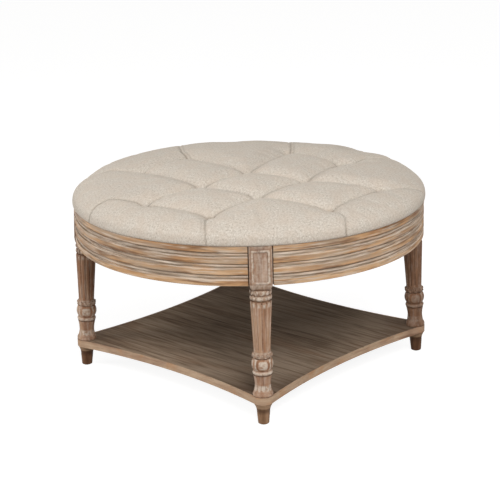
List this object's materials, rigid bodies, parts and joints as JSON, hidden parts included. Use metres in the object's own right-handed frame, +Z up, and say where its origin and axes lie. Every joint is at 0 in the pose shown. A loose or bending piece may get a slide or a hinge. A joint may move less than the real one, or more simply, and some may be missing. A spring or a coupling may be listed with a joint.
{
  "type": "round ottoman coffee table",
  "caption": "Round coffee table with a tufted linen seat, reeded apron, splayed turned and carved legs and a low concave-sided shelf.",
  "frame": {"origin": "on the floor, under the centre of the round top", "axes": "+Z up; the legs stand on the diagonals, so the shelf's concave sides face +X, +Y, -X and -Y; front is -Y"},
  "size_m": [0.804, 0.804, 0.4722],
  "materials": {
    "weathered_wood": "weathered brown with pale wax in the grain",
    "plain_wood": "unfinished",
    "panel_board": "raw board",
    "dark_veneer": "dark grey-brown, matt",
    "lipping_wood": "matt tan",
    "plywood": "unfinished",
    "foam": "open foam",
    "linen": "woven oatmeal linen",
    "black_cloth": "thin non-woven",
    "twine": "waxed twine",
    "steel": "zinc plated",
    "nylon": "moulded"
  },
  "bodies": {
    "root": {"leg_rear_right": "weathered_wood", "leg_rear_left": "weathered_wood", "leg_front_left": "weathered_wood", "leg_front_right": "weathered_wood", "foot_rear_right": "weathered_wood", "foot_rear_left": "weathered_wood", "foot_front_left": "weathered_wood", "foot_front_right": "weathered_wood", "apron_right": "weathered_wood", "apron_rear": "weathered_wood", "apron_left": "weathered_wood", "apron_front": "weathered_wood", "corner_block_rear_right": "plain_wood", "corner_block_rear_left": "plain_wood", "corner_block_front_left": "plain_wood", "corner_block_front_right": "plain_wood", "shelf_panel": "panel_board", "shelf_top_veneer": "dark_veneer", "shelf_bottom_veneer": "dark_veneer", "shelf_lipping_right": "lipping_wood", "shelf_lipping_rear": "lipping_wood", "shelf_lipping_left": "lipping_wood", "shelf_lipping_front": "lipping_wood", "seat_deck": "plywood", "foam_pad": "foam", "seat_cover": "linen", "dust_cover": "black_cloth", "tuft_twines": "twine", "tuft_washers": "steel", "cover_staples": "steel", "dust_cover_staples": "steel", "apron_dowels": "plain_wood", "corner_block_screws": "steel", "seat_screws": "steel", "leg_bolts": "steel", "bolt_washers": "steel", "bolt_nuts": "steel", "leg_studs": "steel", "floor_glides": "nylon"}
  },
  "joints": []
}
